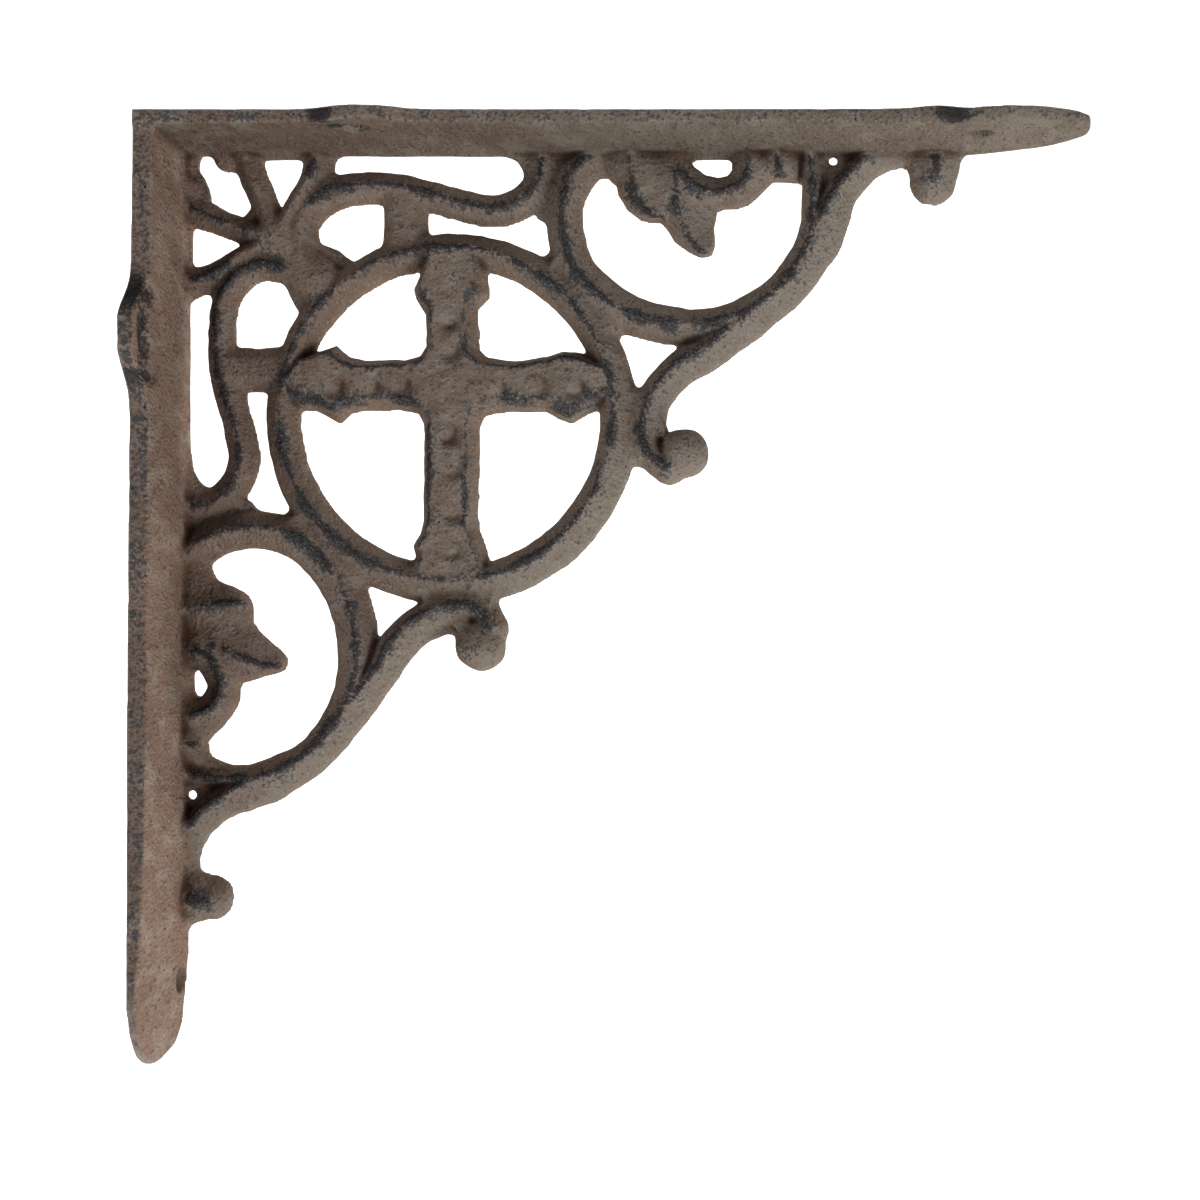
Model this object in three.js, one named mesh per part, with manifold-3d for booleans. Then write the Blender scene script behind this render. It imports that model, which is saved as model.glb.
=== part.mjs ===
// Ornate cast iron shelf bracket: one sand casting.
// Two straps stand square to each other and a flat-backed openwork of ridged scrolls fills the corner.
// Millimetres. +X runs out from the wall, +Z is up, and Y runs across the straps.
// The carved side and the screw ears face -Y. The flat back of the openwork is flush with the +Y edges.

import * as THREE from 'three';
import * as BufferGeometryUtils from 'three/addons/utils/BufferGeometryUtils.js';
import Module from 'manifold-3d';

const wasm = await Module();
wasm.setup();

// Driving dimensions of the straps
const STRAP_WIDTH = 26.0;
const WALL_THICKNESS = 4.0;
const SHELF_THICKNESS = 3.0;
const WALL_TONGUE = 28.0;
const SHELF_TONGUE = 27.0;
const WALL_TIP_THICKNESS = 2.0;
const SHELF_TIP_THICKNESS = 2.4;
const WALL_TAPER_LENGTH = 60.0;
const SHELF_TAPER_LENGTH = 22.0;

// Screw holes and the ears that stand out beyond the near edges
const SCREW_HOLE_DIAMETER = 5.6;
const WALL_EAR_FROM_CORNER = 46.5;
const WALL_EAR_LENGTH = 25.0;
const WALL_EAR_REACH = 8.6;
const WALL_EAR_HOLE_INSET = 8.2;
const WALL_EAR_HOLE_DROP = 2.5;
const SHELF_EAR_FROM_CORNER = 48.5;
const SHELF_EAR_LENGTH = 24.0;
const SHELF_EAR_REACH = 3.6;
const SHELF_EAR_HOLE_INSET = 8.6;
const SHELF_EAR_HOLE_SHIFT = -3.0;
const WALL_TIP_HOLE_FROM_END = 16.0;
const WALL_TIP_HOLE_FROM_BACK = 2.6;
const SHELF_TIP_HOLE_FROM_END = 23.5;
const SHELF_TIP_HOLE_FROM_BACK = 17.0;

// Driving dimensions of the openwork
const ORNAMENT_SPAN = 169.0;
const RIDGE_HEIGHT = 6.5;
const LOW_RIDGE_HEIGHT = 4.6;
const CURL_HEIGHT = 7.6;
const WEB_HEIGHT = 1.8;
const SCROLL_WIDTH = 7.4;
const RING_OUTER_RADIUS = 40.7;
const RING_HOLE_RADIUS = 32.8;
const SNAKE_WIDTH = 6.8;
const PRONG_WIDTH = 5.2;
const STRUT_WIDTH = 8.8;
const CROSS_HEIGHT = 6.8;
const CROSS_UPRIGHT_WIDTH = 11.8;
const CROSS_ARM_WIDTH = 11.3;
const BEAD_RISE = 0.9;

// The free outlines below are drawn on a pattern of this span, and scaled to ORNAMENT_SPAN.
// Pattern axes start at the inner corner of the straps: first along the shelf, then down the wall.
const PATTERN_SPAN = 169.0;
const patternScale = ORNAMENT_SPAN / PATTERN_SPAN;
// The wall half of the pattern sits this much nearer the corner than the shelf half.
const WALL_HALF_SHIFT = 0.7;
// Its outer scroll is drawn in a little more.
const WALL_SCROLL_INSET = 1.2;

const shelfReach = WALL_THICKNESS + ORNAMENT_SPAN + SHELF_TONGUE;
const wallDrop = SHELF_THICKNESS + ORNAMENT_SPAN + WALL_TONGUE;
const originDrop = wallDrop / 2;

const castIron = new THREE.MeshStandardMaterial({ color: 0x6f6459, roughness: 0.72, metalness: 0.35 });

// Solids from three.js geometry, and back

function solidOf(geometry) {
  const bare = geometry.clone();
  bare.deleteAttribute('normal');
  bare.deleteAttribute('uv');
  const merged = BufferGeometryUtils.mergeVertices(bare, 1e-4);
  const mesh = new wasm.Mesh({
    numProp: 3,
    vertProperties: new Float32Array(merged.attributes.position.array),
    triVerts: new Uint32Array(merged.index.array),
  });
  return new wasm.Manifold(mesh);
}

function geometryOf(solid) {
  const mesh = solid.getMesh();
  const geometry = new THREE.BufferGeometry();
  geometry.setAttribute('position', new THREE.BufferAttribute(new Float32Array(mesh.vertProperties), 3));
  geometry.setIndex(new THREE.BufferAttribute(new Uint32Array(mesh.triVerts), 1));
  geometry.computeVertexNormals();
  return geometry;
}

function joined(solids) {
  return solids.reduce((whole, next) => whole.add(next));
}

// Pattern space: x along the shelf, y = -depth under the shelf, z = height of the relief off the flat back

function onShelfHalf([along, off]) {
  return new THREE.Vector2(
    WALL_THICKNESS + along * patternScale,
    -SHELF_THICKNESS - off * patternScale,
  );
}

function onWallHalf([along, off]) {
  return new THREE.Vector2(
    WALL_THICKNESS + off * patternScale,
    -SHELF_THICKNESS - (along - WALL_HALF_SHIFT) * patternScale,
  );
}

// A value that runs through a list of levels as t goes from 0 to 1
function level(levels, t) {
  const place = t * (levels.length - 1);
  const first = Math.min(Math.floor(place), levels.length - 2);
  return THREE.MathUtils.lerp(levels[first], levels[first + 1], place - first);
}

// A bar's section: steep drafted walls, then two slopes up to a crest of the given share of the width
function barSection(crestShare) {
  return new THREE.Shape([
    new THREE.Vector2(-1, 0),
    new THREE.Vector2(1, 0),
    new THREE.Vector2(0.84, 0.42),
    new THREE.Vector2(crestShare, 1),
    new THREE.Vector2(-crestShare, 1),
    new THREE.Vector2(-0.84, 0.42),
  ]);
}

// A bar of that section along a smooth line through the points, with its width and height given in levels
function bar(points, widths, heights, stepLength = 3.4, crestShare = 0.16) {
  const line = new THREE.SplineCurve(points);
  const steps = Math.max(2, Math.ceil(line.getLength() / stepLength));
  const geometry = new THREE.ExtrudeGeometry(barSection(crestShare), { depth: 1, steps, bevelEnabled: false });
  const position = geometry.attributes.position;
  for (let index = 0; index < position.count; index += 1) {
    const t = THREE.MathUtils.clamp(position.getZ(index), 0, 1);
    const centre = line.getPointAt(t);
    const along = line.getTangentAt(t);
    const across = position.getX(index) * level(widths, t) / 2;
    const height = position.getY(index) * level(heights, t);
    position.setXYZ(index, centre.x - along.y * across, centre.y + along.x * across, height);
  }
  return solidOf(geometry);
}

// A rounded boss on the flat back
function boss(centre, radius, height, sides = 14) {
  const profile = [new THREE.Vector2(0, 0)];
  profile.push(new THREE.Vector2(radius, 0));
  profile.push(new THREE.Vector2(radius * 0.97, height * 0.4));
  profile.push(new THREE.Vector2(radius * 0.78, height * 0.78));
  profile.push(new THREE.Vector2(radius * 0.4, height * 0.96));
  profile.push(new THREE.Vector2(0, height));
  const geometry = new THREE.LatheGeometry(profile, sides);
  geometry.rotateX(Math.PI / 2);
  geometry.translate(centre.x, centre.y, 0);
  return solidOf(geometry);
}

// A thin web between bars
function web(corners) {
  const geometry = new THREE.ExtrudeGeometry(new THREE.Shape(corners), { depth: WEB_HEIGHT, bevelEnabled: false });
  return solidOf(geometry);
}

// One half of the openwork, drawn by the given placing function

function lilyProngs(place) {
  const inner = [[11.8, -1.6], [14.2, 3.9], [16.0, 8.3], [17.3, 12.1], [19.4, 17.3]];
  const outer = [[29.0, -1.6], [27.6, 4.5], [25.6, 8.3], [23.4, 12.1], [21.0, 17.3]];
  const widths = [1.35, 1.1, 1.0, 1.1, 1.3].map((share) => share * PRONG_WIDTH * patternScale);
  const heights = [0.8, 1, 1.1, 1.2, 1.3].map((share) => share * LOW_RIDGE_HEIGHT);
  return [
    bar(inner.map(place), widths, heights),
    bar(outer.map(place), widths, heights),
    boss(place([8.4, 0.4]), 3.2 * patternScale, LOW_RIDGE_HEIGHT * 0.8, 10),
    boss(place([2.0, 0.2]), 2.6 * patternScale, LOW_RIDGE_HEIGHT * 0.5, 8),
    web([[28.0, -1.6], [31.6, -1.6], [31.8, 3.4], [34.0, 5.4], [28.0, 12.0], [25.0, 10.0]].map(place)),
  ];
}

function loopAndSnake(place) {
  const line = [
    [30.0, 27.5], [25.6, 21.0], [25.2, 14.7], [28.4, 10.1], [33.4, 7.5], [39.2, 6.8], [46.2, 7.2],
    [53.9, 9.0], [60.6, 10.9], [67.2, 12.1], [72.7, 10.5], [76.4, 7.0], [78.0, 2.8], [78.2, -1.6],
  ];
  const widths = [1.1, 1, 0.95, 0.95, 1, 1, 1, 1, 1.05].map((share) => share * SNAKE_WIDTH * patternScale);
  const heights = [1.25, 1.1, 1, 1, 1, 1, 1, 0.9, 0.75].map((share) => share * LOW_RIDGE_HEIGHT);
  const strut = [[47.9, 7.0], [47.8, 13.0], [47.9, 20.6]];
  const strutWidths = [STRUT_WIDTH, STRUT_WIDTH, STRUT_WIDTH * 1.15].map((width) => width * patternScale);
  const strutHeights = [LOW_RIDGE_HEIGHT * 0.9, LOW_RIDGE_HEIGHT * 0.85, LOW_RIDGE_HEIGHT];
  return [
    bar(line.map(place), widths, heights),
    bar(strut.map(place), strutWidths, strutHeights, 6, 0.4),
    web([[69.0, -1.6], [78.0, -1.6], [77.0, 5.0], [74.0, 4.0], [72.4, 1.0]].map(place)),
    web([[76.0, 9.0], [83.0, 6.0], [82.0, 15.0], [79.0, 14.6], [77.4, 13.2]].map(place)),
    web([[79.4, 21.4], [83.0, 20.0], [84.0, 28.0], [77.0, 24.0]].map(place)),
    web([[28.0, 19.0], [33.0, 21.0], [35.5, 23.0], [36.5, 26.0], [28.0, 28.0]].map(place)),
  ];
}

function cScroll(place) {
  const line = [
    [91.7, -1.6], [87.0, 2.1], [84.0, 7.2], [82.6, 13.4], [83.3, 19.3], [85.9, 24.9], [90.4, 29.7],
    [96.5, 33.7], [103.6, 36.3], [111.8, 37.2], [119.0, 35.7], [125.0, 32.8], [130.1, 28.4],
    [133.8, 23.1], [136.3, 17.3], [137.6, 11.6], [137.4, 6.0], [136.3, -1.6],
  ];
  const widths = [1, 1.05, 1.08, 1.14, 1.16, 1.02, 0.82, 0.66, 0.62].map((share) => (
    share * SCROLL_WIDTH * patternScale
  ));
  const heights = [0.75, 0.95, 1, 1, 1, 1, 0.98, 0.9, 0.7].map((share) => share * RIDGE_HEIGHT);
  const root = [[85.0, -1.6], [100.0, -1.6], [96.0, 9.0], [94.4, 6.4], [92.6, 4.9], [90.2, 5.4], [87.6, 9.0], [84.0, 9.0]];
  return [
    bar(line.map(place), widths, heights),
    web([[78.0, -1.6], [92.0, -1.6], [85.0, 8.0], [80.5, 12.0]].map(place)),
    web(root.map(place)),
  ];
}

// The outer scroll runs beside the round one; it is drawn in by the inset where the two run together
function outerScroll(place, inset) {
  const line = [
    [160.0, -1.4], [154.4, -0.6], [149.2, 2.5], [145.6, 6.3], [143.4, 10.5], [141.8, 14.9], [139.9, 19.6],
    [136.7, 24.7], [132.4, 29.4], [127.2, 34.1], [121.2, 38.6], [115.2, 42.6], [109.4, 46.3],
    [104.6, 50.5], [101.7, 55.5], [101.2, 61.3], [102.8, 66.1], [106.6, 68.6],
  ].map(([along, off]) => [along - inset, off - inset * 0.4]);
  const widths = [0.8, 0.85, 0.9, 0.95, 0.92, 0.9, 0.92, 0.98, 0.84].map((share) => (
    share * SCROLL_WIDTH * patternScale
  ));
  const heights = [0.6, 0.8, 0.95, 1, 1, 1, 1, 1, 1].map((share) => share * RIDGE_HEIGHT);
  const terminal = [[163.8, -1.6], [163.9, 3.0], [163.7, 7.0], [163.6, 10.4]];
  const terminalWidths = [12.6, 11.8, 10.4, 8.8, 5.0].map((width) => width * patternScale);
  const terminalHeights = [0.7, 0.9, 1, 0.95, 0.7].map((share) => share * RIDGE_HEIGHT);
  return [
    bar(line.map(place), widths, heights),
    boss(place([108.9 - inset, 65.3 - inset * 0.7]), 5.4 * patternScale, CURL_HEIGHT),
    bar(terminal.map(place), terminalWidths, terminalHeights, 2.4, 0.3),
    web([[136.3, -1.6], [152.0, -1.6], [144.0, 9.0], [139.6, 15.0]].map(place)),
    web([[96.5, 49.5], [98.6, 51.7], [102.0, 53.0], [101.5, 66.5], [99.0, 68.8], [95.0, 68.0]].map(place)),
  ];
}

function leaf(place) {
  const nearLobe = [[101.0, -1.6], [101.6, 4.0], [102.2, 9.0], [102.0, 14.0]];
  const nearWidths = [14.6, 14.2, 13.0, 11.2, 6.4].map((width) => width * patternScale);
  const nearHeights = [0.7, 0.95, 1, 0.9, 0.6].map((share) => share * RIDGE_HEIGHT);
  const farLobe = [[104.0, 1.0], [107.8, 9.0], [110.6, 15.0], [113.0, 21.6]];
  const farWidths = [8.0, 10.2, 11.0, 9.8, 5.0].map((width) => width * patternScale);
  const farHeights = [0.8, 0.95, 1, 0.95, 0.65].map((share) => share * RIDGE_HEIGHT);
  const stem = [[127.4, -1.8], [125.2, 3.2], [122.4, 6.3], [117.3, 8.0], [113.1, 6.6], [108.6, 3.4]];
  const stemWidths = [8.2, 7.6, 7.4, 7.4, 7.6].map((width) => width * patternScale);
  const stemHeights = [0.65, 0.75, 0.85, 0.85, 0.85].map((share) => share * RIDGE_HEIGHT);
  return [
    bar(nearLobe.map(place), nearWidths, nearHeights, 3, 0.22),
    bar(farLobe.map(place), farWidths, farHeights, 3, 0.2),
    bar(stem.map(place), stemWidths, stemHeights),
    boss(place([131.4, 1.4]), 4.4 * patternScale, LOW_RIDGE_HEIGHT * 0.85, 12),
    web([[104.0, -1.6], [110.8, -1.6], [111.4, 1.6], [114.0, 4.2], [107.0, 6.0]].map(place)),
    web([[119.4, -1.6], [128.0, -1.6], [123.0, 6.0], [117.5, 5.0], [119.2, 2.6]].map(place)),
  ];
}

function ornamentHalf(place, scrollInset) {
  return [
    ...lilyProngs(place),
    ...loopAndSnake(place),
    ...cScroll(place),
    ...outerScroll(place, scrollInset),
    ...leaf(place),
  ];
}

// The middle of the openwork: the ring, the upright cross inside it and the knot of the lily

// The ring's hole is a little off its middle, towards the corner, so the band is wider on the far side
function ring() {
  const middle = onShelfHalf([57.9, 57.9]);
  const holeMiddle = onShelfHalf([57.2, 56.9]);
  const outerRadius = RING_OUTER_RADIUS * patternScale;
  const holeRadius = RING_HOLE_RADIUS * patternScale;
  const profile = [[0, 0], [1, 0], [0.92, 0.42], [0.58, 1], [0.42, 1], [0.08, 0.42], [0, 0]];
  const points = profile.map(([share, up]) => (
    new THREE.Vector2(THREE.MathUtils.lerp(holeRadius, outerRadius, share), up * RIDGE_HEIGHT)
  ));
  const geometry = new THREE.LatheGeometry(points, 60);
  geometry.rotateX(Math.PI / 2);
  const position = geometry.attributes.position;
  for (let index = 0; index < position.count; index += 1) {
    const radius = Math.hypot(position.getX(index), position.getY(index));
    const share = (radius - holeRadius) / (outerRadius - holeRadius);
    const centre = holeMiddle.clone().lerp(middle, share);
    position.setXY(index, position.getX(index) + centre.x, position.getY(index) + centre.y);
  }
  return solidOf(geometry);
}

// The cross: two flat-crested bars whose ends swell into pads, with low beads along them
function cross() {
  const middle = [57.6, 50.1];
  const upright = [[57.6, 22.4], middle, [57.5, 92.4]].map(onShelfHalf);
  const arms = [[24.4, 50.1], middle, [91.0, 50.1]].map(onShelfHalf);
  const uprightWidths = [
    1.12, 1.5, 1.02, 0.97, 0.97, 1.0, 1.0, 1.0, 1.02, 1.05, 1.06, 1.1, 1.4, 1.26,
  ].map((share) => share * CROSS_UPRIGHT_WIDTH * patternScale);
  const armWidths = [
    1.06, 1.2, 1.52, 1.02, 0.96, 0.98, 0.98, 0.98, 0.96, 1.0, 1.46, 1.25, 1.06,
  ].map((share) => share * CROSS_ARM_WIDTH * patternScale);
  const heights = [CROSS_HEIGHT, CROSS_HEIGHT];
  const beadRadius = CROSS_ARM_WIDTH * 0.34 * patternScale;
  const beads = [
    [57.6, 29.5], [57.6, 41.0], middle, [57.4, 61.0], [57.3, 69.5], [57.3, 78.5], [57.3, 87.5],
    [31.5, 50.1], [43.5, 50.1], [71.5, 50.1], [84.0, 50.1],
  ];
  return [
    bar(upright, uprightWidths, heights, 4.6, 0.6),
    bar(arms, armWidths, heights, 4.6, 0.6),
    boss(onShelfHalf(middle), CROSS_ARM_WIDTH * 0.76 * patternScale, CROSS_HEIGHT, 8),
    ...beads.map((place) => boss(onShelfHalf(place), beadRadius, CROSS_HEIGHT + BEAD_RISE, 8)),
  ];
}

function lilyKnot() {
  return [
    boss(onShelfHalf([19.8, 18.6]), 5.4 * patternScale, RIDGE_HEIGHT, 12),
    boss(onShelfHalf([28.2, 27.2]), 6.8 * patternScale, RIDGE_HEIGHT * 0.94, 12),
    bar([[19.8, 18.6], [33.0, 32.4]].map(onShelfHalf), [7.5, 11.0], [RIDGE_HEIGHT * 0.8, RIDGE_HEIGHT * 0.9]),
  ];
}

// The straps

// Outline of a strap seen square to its face: length from the corner, then height from the flat back
function strapShape(length, tongueRadius, earMiddle, earLength, earReach) {
  const shape = new THREE.Shape();
  shape.moveTo(0, 0);
  shape.lineTo(length - tongueRadius, 0);
  shape.absarc(length - tongueRadius, tongueRadius, tongueRadius, -Math.PI / 2, Math.PI / 2, false);
  shape.lineTo(earMiddle + earLength / 2, STRAP_WIDTH);
  shape.bezierCurveTo(
    earMiddle + earLength * 0.3, STRAP_WIDTH + earReach * 0.3,
    earMiddle + earLength * 0.25, STRAP_WIDTH + earReach,
    earMiddle, STRAP_WIDTH + earReach,
  );
  shape.bezierCurveTo(
    earMiddle - earLength * 0.25, STRAP_WIDTH + earReach,
    earMiddle - earLength * 0.3, STRAP_WIDTH + earReach * 0.3,
    earMiddle - earLength / 2, STRAP_WIDTH,
  );
  shape.lineTo(0, STRAP_WIDTH);
  return shape;
}

// A strap lying with its outer face at z = 0, thinned towards its tongue by a long sloping cut
function strapSolid(shape, length, thickness, tipThickness, taperLength) {
  const plate = new THREE.ExtrudeGeometry(shape, { depth: thickness, bevelEnabled: false, curveSegments: 10 });
  const taper = new THREE.Shape();
  taper.moveTo(length - taperLength, thickness);
  taper.lineTo(length + STRAP_WIDTH, tipThickness - (thickness - tipThickness) * STRAP_WIDTH / taperLength);
  taper.lineTo(length + STRAP_WIDTH, thickness + STRAP_WIDTH);
  taper.lineTo(length - taperLength, thickness + STRAP_WIDTH);
  const cutter = new THREE.ExtrudeGeometry(taper, { depth: 4 * STRAP_WIDTH, bevelEnabled: false });
  cutter.rotateX(Math.PI / 2);
  cutter.translate(0, 3 * STRAP_WIDTH, 0);
  return solidOf(plate).subtract(solidOf(cutter));
}

// A screw hole through a strap, centred at a length from the corner and a height from the flat back
function screwHole(along, height) {
  const geometry = new THREE.CylinderGeometry(SCREW_HOLE_DIAMETER / 2, SCREW_HOLE_DIAMETER / 2, 40, 18);
  geometry.rotateX(Math.PI / 2);
  geometry.translate(along, height, 0);
  return solidOf(geometry);
}

function wallStrap() {
  const shape = strapShape(wallDrop, STRAP_WIDTH / 2, WALL_EAR_FROM_CORNER, WALL_EAR_LENGTH, WALL_EAR_REACH);
  const earHoleHeight = STRAP_WIDTH + WALL_EAR_REACH - WALL_EAR_HOLE_INSET;
  const solid = strapSolid(shape, wallDrop, WALL_THICKNESS, WALL_TIP_THICKNESS, WALL_TAPER_LENGTH)
    .subtract(screwHole(WALL_EAR_FROM_CORNER + WALL_EAR_HOLE_DROP, earHoleHeight))
    .subtract(screwHole(wallDrop - WALL_TIP_HOLE_FROM_END, WALL_TIP_HOLE_FROM_BACK));
  // length runs down, height stays, and thickness runs out along +x
  return solid.transform([0, -1, 0, 0, 0, 0, 1, 0, 1, 0, 0, 0, 0, 0, 0, 1]);
}

function shelfStrap() {
  const shape = strapShape(shelfReach, STRAP_WIDTH / 2, SHELF_EAR_FROM_CORNER, SHELF_EAR_LENGTH, SHELF_EAR_REACH);
  const earHoleHeight = STRAP_WIDTH + SHELF_EAR_REACH - SHELF_EAR_HOLE_INSET;
  const solid = strapSolid(shape, shelfReach, SHELF_THICKNESS, SHELF_TIP_THICKNESS, SHELF_TAPER_LENGTH)
    .subtract(screwHole(SHELF_EAR_FROM_CORNER + SHELF_EAR_HOLE_SHIFT, earHoleHeight))
    .subtract(screwHole(shelfReach - SHELF_TIP_HOLE_FROM_END, SHELF_TIP_HOLE_FROM_BACK));
  // length runs along the shelf, height stays, and thickness runs down
  return solid.transform([1, 0, 0, 0, 0, 0, 1, 0, 0, -1, 0, 0, 0, 0, 0, 1]);
}

// Everything is poured as one: the openwork is trimmed to the box of the straps and joined to them

function castBody() {
  const quadrant = new THREE.BoxGeometry(shelfReach, wallDrop, STRAP_WIDTH);
  quadrant.translate(
    (WALL_THICKNESS + shelfReach) / 2,
    -(SHELF_THICKNESS + wallDrop) / 2,
    STRAP_WIDTH / 2,
  );
  const openwork = joined([
    ...ornamentHalf(onShelfHalf, 0),
    ...ornamentHalf(onWallHalf, WALL_SCROLL_INSET),
    ring(),
    ...cross(),
    ...lilyKnot(),
  ]);
  return joined([openwork.intersect(solidOf(quadrant)), wallStrap(), shelfStrap()]);
}

const bracket = new THREE.Mesh(geometryOf(castBody()), castIron);
bracket.name = 'cast_bracket';
bracket.rotation.x = Math.PI / 2;
bracket.position.set(0, STRAP_WIDTH / 2, originDrop);

const group = new THREE.Group();
group.add(bracket);

export default group;
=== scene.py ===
import math

import bpy
import numpy as np
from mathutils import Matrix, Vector


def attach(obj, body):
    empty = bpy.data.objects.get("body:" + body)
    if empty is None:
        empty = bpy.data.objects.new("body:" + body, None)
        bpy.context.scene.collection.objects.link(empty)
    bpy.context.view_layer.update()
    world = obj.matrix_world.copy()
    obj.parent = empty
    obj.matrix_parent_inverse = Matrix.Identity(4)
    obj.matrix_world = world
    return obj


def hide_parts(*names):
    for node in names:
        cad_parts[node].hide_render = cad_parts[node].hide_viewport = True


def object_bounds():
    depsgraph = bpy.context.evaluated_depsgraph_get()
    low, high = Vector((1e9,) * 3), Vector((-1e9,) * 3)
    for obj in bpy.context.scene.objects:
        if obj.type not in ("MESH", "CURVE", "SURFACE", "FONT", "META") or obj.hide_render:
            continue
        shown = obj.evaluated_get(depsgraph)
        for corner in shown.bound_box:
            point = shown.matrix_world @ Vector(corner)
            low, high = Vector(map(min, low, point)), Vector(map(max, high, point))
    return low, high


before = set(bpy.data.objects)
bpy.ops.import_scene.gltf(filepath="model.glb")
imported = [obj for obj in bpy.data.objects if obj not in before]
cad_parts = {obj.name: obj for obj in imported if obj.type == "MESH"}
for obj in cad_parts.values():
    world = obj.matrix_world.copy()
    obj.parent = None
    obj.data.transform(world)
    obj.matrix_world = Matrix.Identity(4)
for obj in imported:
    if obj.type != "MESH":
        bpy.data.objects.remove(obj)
cad_low, cad_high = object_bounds()

# The casting is worked out in millimetres on a grid: x along the shelf from the wall face,
# d down from the shelf face, and h out from the flat back towards the viewer.
MM = 0.001
CELL = 0.42
MARGIN_CELLS = 4
TRIANGLE_LIMIT = 190000
SHARP_ANGLE = 50

# The photograph's frame: the pixel straight ahead of the lens, the pixel of the straps' outer corner
# on the back plane, a pixel's size there, and the lens's distance from that plane
PHOTO_SIDE = 1200
FOOT_PIXEL = (800, 680)
CORNER_PIXEL = (172.5, 143.8)
PIXEL_MM = 0.2207
LENS_DISTANCE = 425.0
SENSOR_MM = 36.0

# Where the grid starts in the model, and which way it runs along the model's X, Y and Z
GRID_START = np.array([cad_low.x, cad_high.y, cad_high.z])
GRID_TURN = (1, -1, -1)
shelf_reach = (cad_high.x - cad_low.x) / MM
wall_drop = (cad_high.z - cad_low.z) / MM
full_height = (cad_high.y - cad_low.y) / MM

# Straps, with their ears and screw holes
STRAP_WIDTH = 26.0
WALL_THICKNESS = 4.0
SHELF_THICKNESS = 3.0
SCREW_HOLE_RADIUS = 2.8

# Openwork
RIDGE_HEIGHT = 6.5
LOW_RIDGE_HEIGHT = 4.6
CURL_HEIGHT = 7.6
WEB_HEIGHT = 1.8
PRONG_WIDTH = 5.2
STRUT_WIDTH = 8.8
RING_OUTER_RADIUS = 40.85
RING_HOLE_RADIUS = 33.0
RING_CREST_RADIUS = 36.3
RING_MIDDLE = (57.9, 57.9)
RING_HOLE_MIDDLE = (57.5, 57.3)
CROSS_HEIGHT = 6.8
CROSS_FACE_LUMPS = 0.45
WALL_HALF_SHIFT = 0.7
TINY_HOLE_RADIUS = 1.0
ORNAMENT_TOP = 9.5
# How far the cast outlines stand out beyond the pattern, and the leaves' a little more
SWELL = 0.12
LEAF_SWELL = 0.2
FILLET = 1.0
STRAP_FILLET = 1.6

# Layers of unevenness: the amount, the size of the lumps and the seed of each
EDGE_LAYERS = [(0.15, 5.5, 11), (0.13, 1.9, 12)]
FACE_LAYERS = [(0.6, 3.4, 31), (0.4, 1.7, 32)]
SKIN_LAYERS = [(0.07, 6.0, 21), (0.05, 2.6, 22), (0.035, 1.2, 23)]
LATTICE_SIZE = 4096
LATTICE_STRIDES = (1, 57, 3251)

# A bar's section: where its steep wall ends and its slope to the crest begins
SHOULDER_OUT = 0.86
SHOULDER_UP = 0.42
CREST_SHARE = 0.06
# How far faces are rounded into each other where they meet
CREST_ROUNDING = 0.35
SHOULDER_ROUNDING = 0.6
EDGE_ROUNDING = 0.5
BOSS_ROUNDING = 0.8
STRAP_ROUNDING = 0.9
# Drafts of the walls that were drawn from the sand, as run over rise
LEAF_DRAFT = 0.18
BOSS_DRAFT = 0.1
# How fast a crest's dark mark ends beyond the marked part of its line
INK_FADE = 40
# An ear's swell: its flank as a share of its length, and how squarely it ends
EAR_FLANK = 0.36
EAR_POWER = 2.6

# Stands for any distance that is too far to matter
FAR = 20.0
# Room round a shape for its fillet and uneven edge, and round the ring and the small holes
SHAPE_MARGIN = 3
ROUND_MARGIN = 4
# Cells in a strap's own grid, through its thickness and its fillet
STRAP_CELLS = 32
# The share of a cell that lies near enough to a flat face to be laid on it
FLAT_SHARE = 0.75


# Small tools on numbers

def smooth_min(a, b, blend):
    mix = np.clip(0.5 + 0.5 * (b - a) / blend, 0, 1)
    return b + (a - b) * mix - blend * mix * (1 - mix)


def smooth_max(a, b, blend):
    return -smooth_min(-a, -b, blend)


def smooth_step(low, high, value):
    t = np.clip((value - low) / (high - low), 0, 1)
    return t * t * (3 - 2 * t)


def level(levels, share):
    """A value that runs through a list of levels as share goes from 0 to 1."""
    return np.interp(share, np.linspace(0, 1, len(levels)), levels)


def smooth_line(points, step=0.8):
    """A Catmull-Rom curve through the points, as an array of close points."""
    points = np.array(points, float)
    padded = np.vstack([2 * points[0] - points[1], points, 2 * points[-1] - points[-2]])
    found = [points[:1]]
    for index in range(len(points) - 1):
        p0, p1, p2, p3 = padded[index:index + 4]
        count = max(2, math.ceil(np.hypot(*(p2 - p1)) / step))
        t = np.linspace(0, 1, count + 1)[1:, None]
        curve = 2 * p1 + (p2 - p0) * t + (2 * p0 - 5 * p1 + 4 * p2 - p3) * t ** 2
        curve += (3 * p1 - p0 - 3 * p2 + p3) * t ** 3
        found.append(curve / 2)
    return np.vstack(found)


def lumps(points, size, seed):
    """Smooth seeded noise from -1 to 1 at an array of points, with lumps of the given size."""
    points = np.asarray(points) / size
    base = np.floor(points).astype(int)
    part = points - base
    part = part * part * (3 - 2 * part)
    lattice = np.random.default_rng(seed).uniform(-1, 1, LATTICE_SIZE)
    axes = points.shape[-1]
    strides = np.array(LATTICE_STRIDES)[:axes]
    total = 0
    for corner in range(2 ** axes):
        offset = np.array([(corner >> axis) & 1 for axis in range(axes)])
        weight = np.prod(np.where(offset, part, 1 - part), axis=-1)
        total = total + weight * lattice[((base + offset) @ strides) % LATTICE_SIZE]
    return total


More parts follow.
